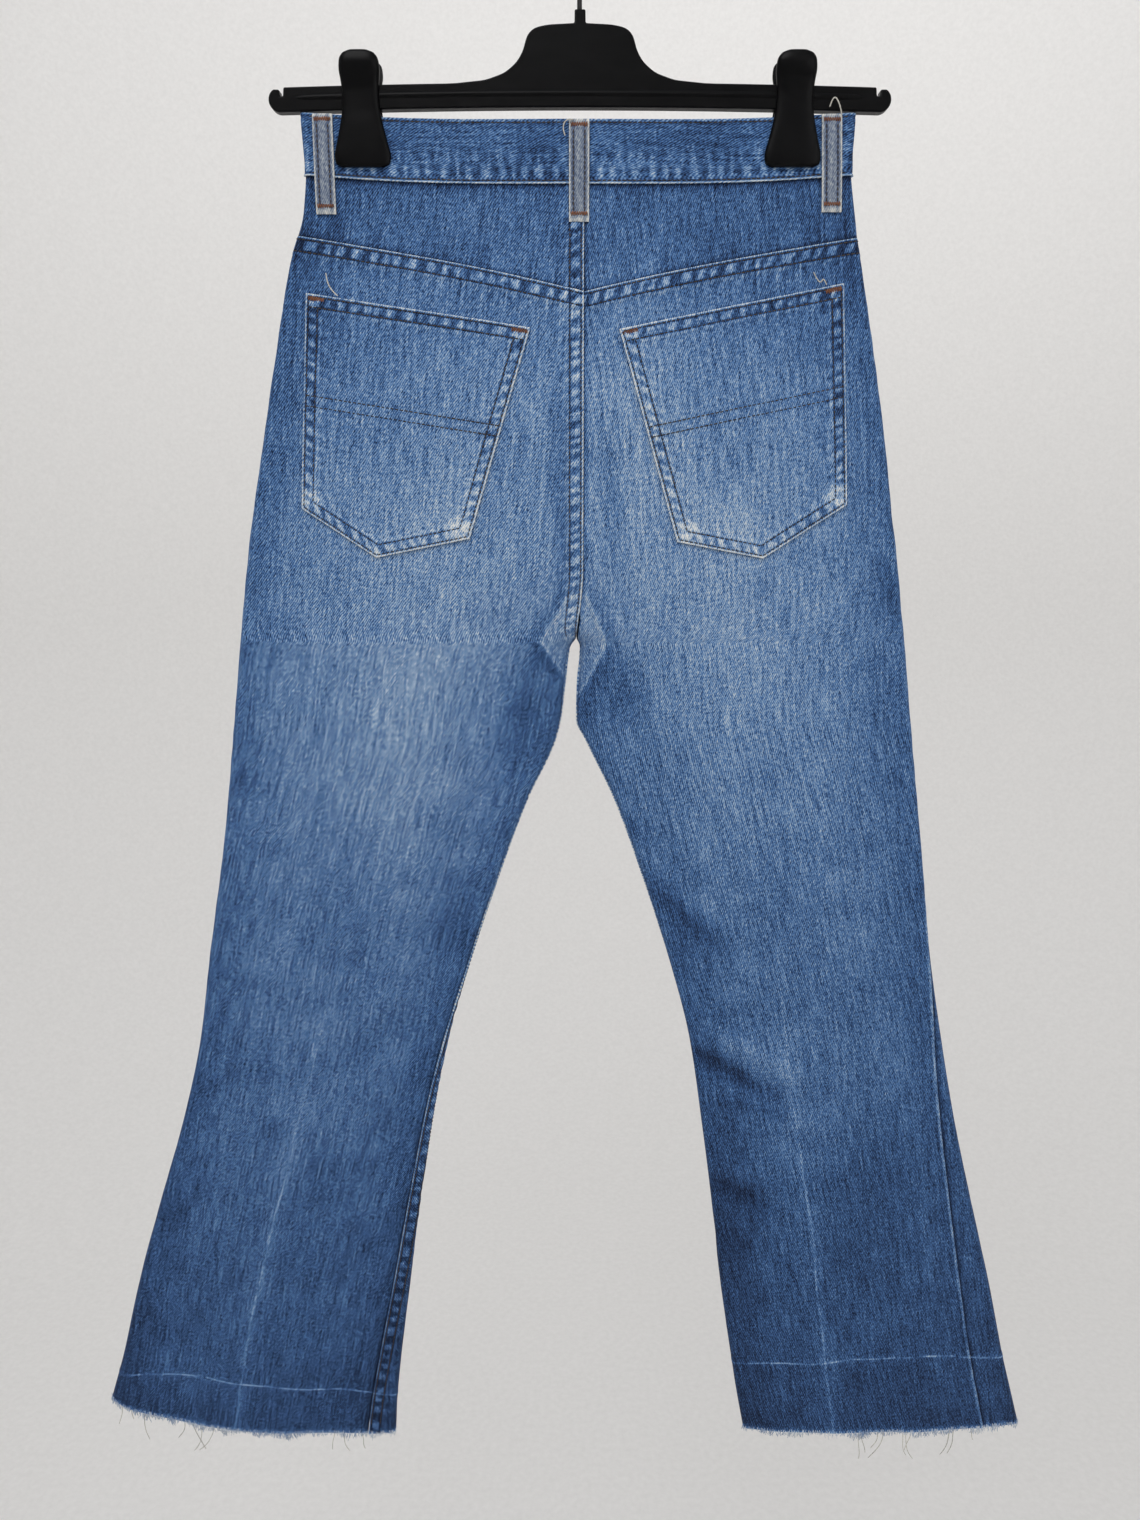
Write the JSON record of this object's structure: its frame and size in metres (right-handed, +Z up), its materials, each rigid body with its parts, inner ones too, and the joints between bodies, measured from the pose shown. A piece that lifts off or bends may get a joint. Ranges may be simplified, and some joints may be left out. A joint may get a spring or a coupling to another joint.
{
  "type": "flared jeans on a clip hanger",
  "caption": "Flared raw-hem jeans hung flat by the waistband from a plastic bar hanger with spring clips and a wire hook.",
  "frame": {"origin": "inner top of the hanger's hook, where a rail would hold it", "axes": "+Z up, the back of the jeans faces -Y, +X towards the wearer's right"},
  "size_m": [0.729, 0.04, 1.1134],
  "materials": {
    "denim": "washed blue cotton twill, faded on the seat and thighs",
    "denim_light": "worn light blue cotton twill",
    "cotton_thread": "frayed pale blue cotton yarn",
    "black_plastic": "moulded black plastic with a soft gloss",
    "hook_wire": "dark coated steel wire",
    "button_metal": "aged plain metal"
  },
  "bodies": {
    "root": {"back_panel_left": "denim", "back_panel_right": "denim", "back_pocket_left": "denim", "back_pocket_right": "denim", "back_yoke_left": "denim", "back_yoke_right": "denim", "belt_loop_back_centre": "denim_light", "belt_loop_back_left": "denim_light", "belt_loop_back_right": "denim_light", "belt_loop_front_left": "denim_light", "belt_loop_front_right": "denim_light", "clip_left_inner_jaw": "black_plastic", "clip_left_outer_jaw": "black_plastic", "clip_right_inner_jaw": "black_plastic", "clip_right_outer_jaw": "black_plastic", "fly_flap": "denim", "front_panel_left": "denim", "front_panel_right": "denim", "front_pocket_facing_left": "denim", "front_pocket_facing_right": "denim", "hanger_bar": "black_plastic", "hanger_hook": "hook_wire", "hem_fray_left": "cotton_thread", "hem_fray_right": "cotton_thread", "waist_button": "button_metal", "waistband": "denim"}
  },
  "joints": []
}
